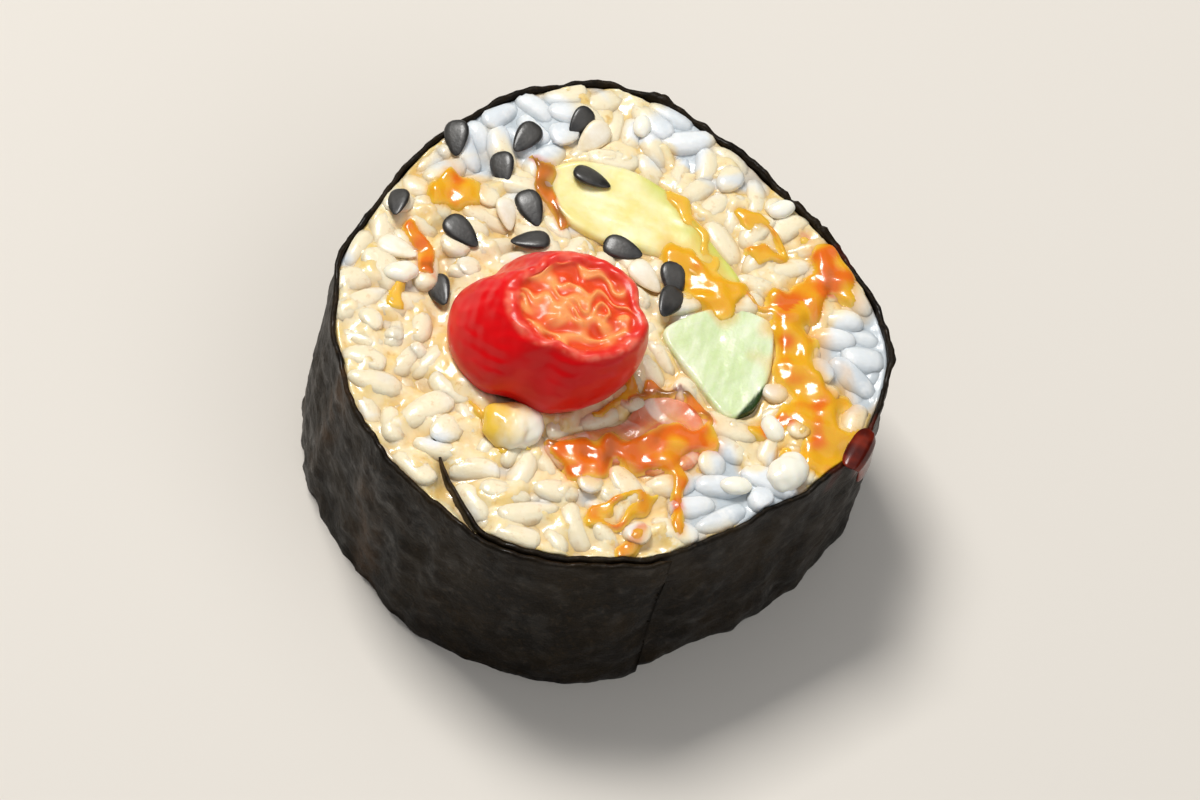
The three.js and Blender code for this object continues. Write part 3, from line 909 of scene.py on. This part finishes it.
# ----------------------------------------
# Blobs of sauce. A round dab of mayonnaise stirred with yellow sits at the chili's foot, and a
# few white crumbs of rice and sauce lie about the face.
# Place, size and turn of each, and how yellow its left side is.
DABS = [
    ((-5.3, -13.4), (5.7, 4.8, 2.8), 10, 1), ((19.3, -9.7), (4.4, 3.4, 2.2), 60, 0),
    ((17, -5.4), (2.9, 1.9, 1.4), 130, 0.15), ((-18.8, -0.9), (3.2, 2.2, 1.4), 20, 0.2),
    ((12.4, 17.4), (2.6, 1.8, 1.2), 40, 0.1), ((-1.9, 21.6), (2.4, 1.7, 1.1), 100, 0),
    ((15.2, -12.6), (2.8, 1.9, 1.2), 15, 0),
]
DAB_RINGS, DAB_SIDES = 40, 48
YOLK_SPAN = 4.6
dab_place, dab_size, dab_turn, dab_yellow = (np.array(column) for column in zip(*DABS))


def dab_rings():
    """Balls stretched to size and dented by noise, from the bottom up."""
    along, around = ball_angles(0.03, DAB_RINGS, DAB_SIDES)
    size = dab_size[:, None, None] / 2
    wide = np.sin(along)
    points = columns(wide * np.cos(around), wide * np.sin(around), -np.cos(along)) * size
    spot = points + to_space(dab_place)[:, None, None]
    points = points * (1 + relief(spot, (0.08, 3, 101), (0.03, 1.3, 102)))[..., None]
    points = turned(points, np.radians(dab_turn), 0, 1)
    stand = sampled(level_ground, dab_place) + 0.18 * size[:, 0, 0, 2]
    return points + to_space(dab_place, stand[:, None])[:, None, None]


dab_bodies = dab_rings()
dabs = loft("sauce_dabs", dab_bodies)
leftward = dab_place[:, :1] - dab_bodies[..., 0].reshape(len(DABS), -1)
yolk_side = dab_yellow[:, None] * np.clip(0.5 + leftward / YOLK_SPAN, 0, 1)
paint(dabs, "yolk", np.concatenate([yolk_side, yolk_side[:, [0, -1]]], 1))
mayonnaise = moist("mayonnaise", 0.35, (1, 0.85, 0.6), 1, 1.42, coat=(0.8, 0.07))
yolk = mayonnaise.painted("yolk") + mayonnaise.noise(1.5, 2, 0.5) * 0.8 - 0.4
mayonnaise.wear(
    dabs, "sauce",
    Base_Color=mayonnaise.layered(rgb(253, 248, 230), (yolk.step(0, 1), rgb(240, 198, 62))),
    Roughness=mayonnaise.noise(1, 2) * 0.12 + 0.16,
)


# ----------------------------------------
# Glaze. Dark sweet glaze ran over the rim at the front right, and stained the seaweed there
# and in two more places.
DRIP_TURN, DRIP_HALF_WIDTH, DRIP_DEPTH = 348.5, 2.2, 0.34
# The drip's way: outwards from the sheet, and height.
DRIP_PATH = [(-1.8, 20), (-0.9, 20.2), (-0.1, 20.15), (0.24, 19.6), (0.26, 17.5), (0.26, 16.6)]
DRIP_RINGS, DRIP_SIDES = 44, 22
# Each stain: its place, half width, length down and strength.
STAINS = [(349, 6, 6, 0.8), (340, 3, 4, 0.5), (38, 5, 4, 0.5)]


def drip_rings():
    """Ovals carried along a path from the face, over the rim and down the sheet, narrower and
    thicker towards the rounded end."""
    s = np.linspace(0, 1, DRIP_RINGS)[:, None]
    path = even_steps(np.array(DRIP_PATH), DRIP_RINGS)
    r, z = path[:, :1], path[:, 1:]
    normal = -rightward(np.gradient(path, axis=0))
    taper = np.sqrt(np.clip(1 - (2 * s - 1) ** 8, 0.0004, 1))
    width = DRIP_HALF_WIDTH * taper * (1 - 0.45 * smoothstep(s, 0.3, 1)) * (1 + 0.12 * np.sin(9 * s))
    depth = DRIP_DEPTH * taper * (0.6 + 0.4 * smoothstep(s, 0.5, 0.9))
    lift = depth * np.sin(once_round(DRIP_SIDES))
    radius = sheet_radius(DRIP_TURN + FULL_TURN) + wrinkle(DRIP_TURN, z) + 0.05
    aside = np.degrees(width * np.cos(once_round(DRIP_SIDES)) / radius)
    flat = on_plane(radius + r + lift * normal[:, :1], DRIP_TURN + aside)
    return to_space(flat, (z + lift * normal[:, 1:])[..., None])[None]


def glaze_on_seaweed(points):
    """How wet with glaze each point is: each stain is a band that narrows and fades downwards."""
    turn, reach = polar(points)
    down = SLICE_HEIGHT - points[:, 2]
    wavy = 2.5 * ripple(points * [0.2, 0.2, 1], 6, 111)
    soiled = np.zeros(len(points))
    for place, half, fall, strength in STAINS:
        aside = np.abs(turn_from(place, turn + wavy))
        width = half * (1 - 0.55 * np.clip(down / fall, 0, 1))
        band = (1 - smoothstep(aside / width, 0.45, 1)) * (1 - smoothstep(down, 0.7 * fall, fall))
        soiled = np.maximum(soiled, strength * band)
    return soiled * (reach > outline_radius(turn) - 0.6)


drips = loft("glaze_drips", drip_rings())
leaf_points = vertices(seaweed)
paint(seaweed, "glaze", glaze_on_seaweed(leaf_points))
# The lower left of the sheet, in patches, is drawn browner: partly toasted colour, partly painted
# sheen.
toasted = smoothstep(ripple(leaf_points * [1, 1, 0.25], 5.5, 112), -0.2, 1.6)
toasted = toasted * smoothstep(-leaf_points[:, 0], -2, 14) * smoothstep(-leaf_points[:, 1], -6, 8)
paint(seaweed, "toasted", toasted)
glaze = Finish("dark glaze", IOR=1.33, Coat_Weight=0.2, Coat_Roughness=0.08, Specular_IOR_Level=0.4)
glaze.wear(
    drips, "sauce",
    Base_Color=glaze.layered(rgb(72, 12, 3), (glaze.noise(2, 2).step(0.35, 0.65), rgb(122, 32, 7))),
    Roughness=glaze.noise(1.5, 2) * 0.1 + 0.2,
)


# ----------------------------------------
# Chili. A thick slice from the broad end of a red chili stands on its cut base: glossy skin,
# a pale red wall round the cut, and the orange membranes and core inside.
CHILI_HEIGHT, CHILI_SEAT, CHILI_CREST = 8.8, 0.5, 8.75
CHILI_LEAN, CHILI_OVAL = (3.2, 0.1), (0.93, 0.86)
FOLDS, FOLD_DEPTH, FOLD_TURN = 3, 0.12, -95
CHILI_PROFILE = [
    (0, 0), (5.4, 0), (7.2, 0.35), (8.1, 1.2), (8.65, 2.6), (8.5, 4.2), (7.9, 6), (7.15, 7.5),
    (6.75, 8.3), (6.35, 8.72), (5.95, 8.82), (5.6, 8.75), (5.2, 8.5), (4.8, 8.2), (4.3, 8.1),
    (3.5, 8.15), (2.6, 8.35), (1.6, 8.55), (0.8, 8.65), (0, 8.65),
]
CHILI_RINGS, CHILI_SIDES, CHILI_ROUNDING = 190, 220, 4


def chili_rings():
    """A profile, rounded by a running mean, turned about the chili's axis, folded in at three
    places, made oval and leant over. Inside, curled ridges and three membranes stand up."""
    even = even_steps(np.array(CHILI_PROFILE), CHILI_RINGS)
    ends = ((CHILI_ROUNDING, CHILI_ROUNDING), (0, 0))
    padded = np.pad(even, ends, mode="reflect", reflect_type="odd")
    kernel = np.ones(2 * CHILI_ROUNDING + 1) / (2 * CHILI_ROUNDING + 1)
    r, z = (np.convolve(column, kernel, "valid")[:, None] for column in padded.T)
    on_top = np.arange(CHILI_RINGS)[:, None] > np.argmax(z > CHILI_CREST)
    r = np.maximum(r, 0.02)
    around = once_round(CHILI_SIDES)
    turn = around - math.radians(FOLD_TURN)
    pulp = smoothstep(-r, -5.7, -4.8) * on_top
    fold = 1 - FOLD_DEPTH * np.clip(np.cos(FOLDS * turn), 0, 1) ** 3 * (1 - 0.75 * pulp)
    spot = columns(r * np.cos(around), r * np.sin(around), z)
    curl = 1 - np.abs(ripple(spot + 0.7 * ripple(spot, 3, 121)[..., None], 3.6, 122))
    curl = np.clip(curl, 0, 1) ** 1.3
    membrane = np.clip(np.cos(FOLDS * (turn + 0.5)), 0, 1) ** 10
    membrane = membrane * smoothstep(r, 1.5, 3) * smoothstep(-r, -5.6, -4.8)
    lift = pulp * (0.36 * curl - 0.12 + 0.25 * membrane) + 0.06 * ripple(spot, 1.5, 123) * on_top
    dent = (1 - on_top) * 0.09 * ripple(spot, 7, 124) * smoothstep(z, 0, 1)
    rise = z / CHILI_HEIGHT
    x = CHILI_BASE[0] + (r * fold + dent) * np.cos(around) + CHILI_LEAN[0] * rise
    oval = CHILI_OVAL[0] + (CHILI_OVAL[1] - CHILI_OVAL[0]) * rise
    y = CHILI_BASE[1] + (r * fold + dent) * np.sin(around) * oval + CHILI_LEAN[1] * rise
    wall = on_top * smoothstep(-r, -6.75, -6.35) + 0 * around
    return columns(x, y, SLICE_HEIGHT - CHILI_SEAT + z + lift), wall, pulp + 0 * around, curl * pulp


chili_body, *chili_masks = chili_rings()
chili = loft("chili_piece", chili_body[None])
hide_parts("chili")
for label, values in zip(("wall", "pulp", "curl"), chili_masks):
    paint(chili, label, np.append(values.ravel(), [values[0].mean(), values[-1].mean()]))
pod = moist("red chili", 0.2, (1, 0.2, 0.1), 1.2, 1.4, coat=(0.25, 0.2), Specular_IOR_Level=0.3)
wall = pod.painted("wall")
# The wall's lighter pink streaks are partly the flesh's own colour and partly painted highlight; the
# same streaks bump it.
streaks_and_sheen = pod.noise(1.7, 2)
wall_colour = pod.layered(rgb(226, 48, 36), (streaks_and_sheen.step(0.4, 0.7), rgb(242, 112, 88)))
core_colour = pod.layered(rgb(226, 76, 34), (pod.painted("curl").step(0.15, 0.95), rgb(249, 160, 92)))
pod_colour = pod.layered(
    rgb(216, 0, 8), (pod.noise(5, 2).step(0.3, 0.7), rgb(232, 4, 14)),
    (wall, wall_colour), (pod.painted("pulp"), core_colour),
)
pod.wear(
    chili, "chili", Base_Color=pod_colour,
    Roughness=pod.noise(1.5, 2) * 0.1 + 0.3,
    Normal=pod.bump(streaks_and_sheen * wall, 0.06, 0.5),
)


# ----------------------------------------
# Sesame seeds. Toasted black and white seeds, flat drops with one pointed end, scattered
# by hand over the upper left of the face and stuck there by the sauce.
SEED_LENGTH, SEED_WIDTH, SEED_DEPTH = 3.5, 2.1, 0.85
SEED_RINGS, SEED_SIDES = 14, 16
# Place, and turn in degrees.
DARK_SEEDS = [
    (-17.7, 14.5, 105), (-11.7, 16.8, 70), (-12.9, 13, 110), (-7.4, 20.1, 70), (-21, 5.9, 95),
    (-14.7, 4.9, 150), (-9.4, 9.6, 125), (-8.6, 6.3, 20), (-15.1, -1.3, 120), (4.8, 6.7, 110),
    (5, 4.1, 80), (-4.9, 14.6, 170), (-0.4, 8.2, 175),
]
PALE_SEEDS = [(-11.3, 8.4, 115), (-19.8, 1.5, 170), (2.3, 6.2, 150), (-5.9, 19, 60)]


def seed_rings(places, seed):
    """Flat drops: ellipsoids narrowed towards one end, thinned at the edge, tilted and laid on the
    face, and how near to its top each vertex is, by which the finish paints a highlight on each seed."""
    rng = np.random.default_rng(seed)
    count = len(places)
    along, around = ball_angles(0.06, SEED_RINGS, SEED_SIDES)
    size = rng.uniform(0.9, 1.12, (count, 1, 1))
    fat = np.sin(along) ** 0.9 * (1 - 0.42 * np.cos(along))
    x = -np.cos(along) * SEED_LENGTH / 2
    y = fat * np.cos(around) * SEED_WIDTH / 2
    z = fat * np.sin(around) * SEED_DEPTH / 2 * (1 - 0.3 * np.abs(np.sin(around)) ** 4)
    # How high on its seed each vertex lies, for the painted highlight.
    top_highlight = np.tile(np.clip(2.4 * z / SEED_DEPTH, 0, 1).ravel(), (count, 1))
    points = turned(columns(x * size, y * size, z * size), rng.uniform(-0.5, 0.5, count), 1, 2)
    points = turned(points, rng.uniform(-0.2, 0.2, count), 0, 2)
    flat, turn = np.array(places)[:, :2], np.array(places)[:, 2]
    points = turned(points, np.radians(turn), 0, 1)
    stand = np.maximum(sampled(level_ground, flat), sampled(soft_ground, flat)) + 0.2
    stand = stand + 0.7 * drizzled(flat)[0]
    return points + to_space(flat, stand[:, None])[:, None, None], np.pad(top_highlight, ((0, 0), (0, 2)))


# Each kind: its name, places, seed, darker and lighter hull colours, and the colour of the painted
# highlight.
for slot, places, seed, low, high, highlight_colour in (
    ("dark_sesame", DARK_SEEDS, 131, rgb(16, 15, 14), rgb(48, 46, 44), rgb(86, 84, 80)),
    ("pale_sesame", PALE_SEEDS, 132, rgb(240, 224, 188), rgb(250, 240, 216), rgb(255, 252, 242)),
):
    bodies, top_highlight = seed_rings(places, seed)
    piece = loft(slot, bodies)
    paint(piece, "top_highlight", top_highlight)
    hull = Finish(slot.replace("_", " "), IOR=1.5, Coat_Weight=0.35, Coat_Roughness=0.2)
    hull_colour = hull.layered(
        low, (hull.noise(0.9).step(0.35, 0.7), high),
        # Painted highlight: the top of each seed is drawn lighter.
        (hull.painted("top_highlight").step(0.45, 1) * 0.5, highlight_colour),
    )
    hull.wear(
        piece, slot, Base_Color=hull_colour,
        Roughness=hull.noise(0.7, 2) * 0.2 + 0.34,
        Normal=hull.bump(hull.noise(0.35), 0.05, 0.7),
    )


# ----------------------------------------
# Table and light. A plain pale sweep, a soft box at the far left, weaker ones overhead and at
# the right, and the camera at the angle and tilt from which the slice was seen.
CAMERA_AWAY, CAMERA_UP, CAMERA_ROLL, CAMERA_LENS = 493.95, 747.4, 16.7, 300
AIM, LIT = (0.5, -2.5, 12), (0, 0, 15)
FLOOR_HALF = 900


def aimed(name, data, place, aim, roll=0):
    """Puts a camera or lamp at a place in millimetres, looking at its aim. The roll turns it so
    that the slice leans to the right in the picture."""
    back = (Vector(place) - Vector(aim)).normalized()
    right = Vector((0, 0, 1)).cross(back).normalized()
    up = back.cross(right)
    cos, sin = math.cos(math.radians(roll)), math.sin(math.radians(roll))
    matrix = Matrix((right * cos + up * sin, up * cos - right * sin, back)).transposed().to_4x4()
    matrix.translation = Vector(place) * MM
    made = add_object(name, data)
    made.matrix_world = matrix
    return made


camera_data = bpy.data.cameras.new("camera")
camera_data.lens = CAMERA_LENS
camera_data.clip_start = 0.01
camera_data.clip_end = 20
camera_place = (0, -CAMERA_AWAY, SLICE_HEIGHT + CAMERA_UP)
scene.camera = aimed("camera", camera_data, camera_place, AIM, CAMERA_ROLL)

# Each soft box: its place, width, power and colour.
for name, place, size, power, colour in (
    ("key_box", (-300, 260, 700), 260, 5.7, (1, 0.985, 0.96)),
    ("fill_box", (480, -420, 560), 900, 1.9, (0.93, 0.96, 1)),
    ("top_box", (60, 60, 900), 1100, 1.9, (1, 1, 1)),
):
    lamp = bpy.data.lights.new(name, "AREA")
    lamp.shape = "SQUARE"
    lamp.size = size * MM
    lamp.energy = power
    lamp.color = colour
    aimed(name, lamp, place, LIT)

corners = np.array([(-1, -1, 0), (1, -1, 0), (1, 1, 0), (-1, 1, 0)])
floor = add_mesh("floor", corners * FLOOR_HALF, [(0, 1, 2, 3)])
sweep = Finish("pale sweep", Roughness=0.75, Base_Color=rgb(222, 216, 207))
floor.data.materials.append(sweep.material)

world = bpy.data.worlds.new("studio")
world.use_nodes = True
background = world.node_tree.nodes["Background"].inputs
background["Color"].default_value = rgb(236, 238, 242)
background["Strength"].default_value = 0.12
scene.world = world
scene.view_settings.view_transform = "Standard"
scene.cycles.use_denoising = True
